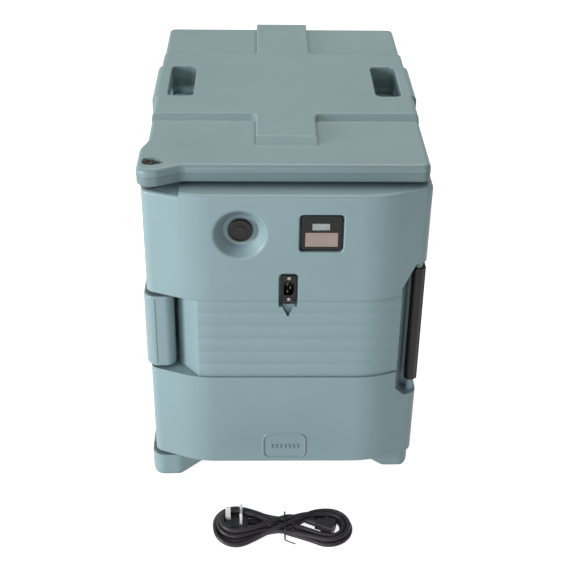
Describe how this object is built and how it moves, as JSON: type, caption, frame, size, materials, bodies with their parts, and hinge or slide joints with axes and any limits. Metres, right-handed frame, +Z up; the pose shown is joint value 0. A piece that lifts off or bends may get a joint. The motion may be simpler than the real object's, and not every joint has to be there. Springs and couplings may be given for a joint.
{
  "type": "insulated food carrier",
  "caption": "Heated insulated food carrier with a foam-filled moulded body, a hinged ribbed door with vent, thermometer and mains inlet, a clip latch, pan rails and a coiled power lead.",
  "frame": {"origin": "on the floor under the middle of the carrier's outline", "axes": "+Z up, the door faces -Y, the door's hinge is on the -X side"},
  "size_m": [0.4688, 0.852, 0.6245],
  "materials": {
    "slate_plastic": "rotomoulded satin",
    "plug_plastic": "satin",
    "foam": "cellular",
    "black_nylon": "satin",
    "pin_plastic": "satin",
    "washer_nylon": "satin",
    "bezel_plastic": "semi gloss",
    "window_clear": "polished",
    "lcd": "satin",
    "solar_cell": "gloss",
    "circuit_board": "satin",
    "stainless": "brushed",
    "zinc_screw": "polished",
    "aluminium_sheet": "brushed",
    "brass_pin": "polished",
    "gasket_rubber": "matte",
    "seal_rubber": "matte",
    "wire_insulation": "matte",
    "element_sheath": "heat tinted",
    "white_polyamide": "satin",
    "cord_rubber": "satin",
    "plug_black": "satin",
    "tie_nylon": "satin"
  },
  "bodies": {
    "carrier": {"body_shell": "slate_plastic", "body_foam": "foam", "body_fill_plug": "plug_plastic", "hinge_washer_top": "washer_nylon", "hinge_washer_upper": "washer_nylon", "hinge_washer_lower": "washer_nylon", "hinge_washer_bottom": "washer_nylon"},
    "hinge_pin": {"hinge_pin": "pin_plastic"},
    "door": {"door_shell": "slate_plastic", "door_foam": "foam", "door_fill_plug": "plug_plastic", "vent_tube": "black_nylon", "thermometer_housing": "bezel_plastic", "thermometer_window": "window_clear", "thermometer_display": "lcd", "thermometer_solar_cell": "solar_cell", "thermometer_board": "circuit_board", "thermometer_probe": "stainless", "probe_grommet": "seal_rubber", "power_inlet": "bezel_plastic", "power_inlet_pins": "brass_pin", "power_inlet_bracket": "stainless", "power_inlet_screws": "zinc_screw", "power_inlet_wires": "wire_insulation", "heater_reflector": "aluminium_sheet", "heating_element": "element_sheath", "element_clips": "stainless", "thermostat": "white_polyamide", "terminal_block": "white_polyamide", "thermal_cutout": "stainless", "heater_cover": "stainless", "heater_cover_screws": "zinc_screw", "door_gasket": "gasket_rubber"},
    "latch": {"latch": "black_nylon"},
    "vent_cap": {"vent_cap": "black_nylon", "vent_cap_seal": "seal_rubber"},
    "power_lead": {"cord_hank": "cord_rubber", "power_plug": "plug_black", "power_plug_relief": "plug_black", "power_plug_pins": "brass_pin", "power_connector": "plug_black", "power_connector_relief": "plug_black", "power_connector_contacts": "brass_pin", "cable_tie": "tie_nylon"}
  },
  "joints": [
    {"name": "door_hinge", "type": "hinge", "parent": "carrier", "child": "door", "pos_m": [-0.218, -0.2885, 0.31], "axis": [0, 0, 1], "range_deg": [-200, 0]},
    {"name": "hinge_pin_lift", "type": "slide", "parent": "carrier", "child": "hinge_pin", "axis": [0, 0, 1], "range_m": [0, 0.6]},
    {"name": "latch_pivot", "type": "hinge", "parent": "door", "child": "latch", "pos_m": [0.2193, -0.296, 0.32], "axis": [0, 0, 1], "range_deg": [-100, 0]},
    {"name": "vent_cap_turn", "type": "hinge", "parent": "door", "child": "vent_cap", "pos_m": [-0.0747, -0.33, 0.5105], "axis": [0, -1, 0], "range_deg": [0, 90]},
    {"name": "lead_lift", "type": "slide", "parent": "carrier", "child": "power_lead", "axis": [0, 0, 1], "range_m": [0, 0.3]}
  ]
}
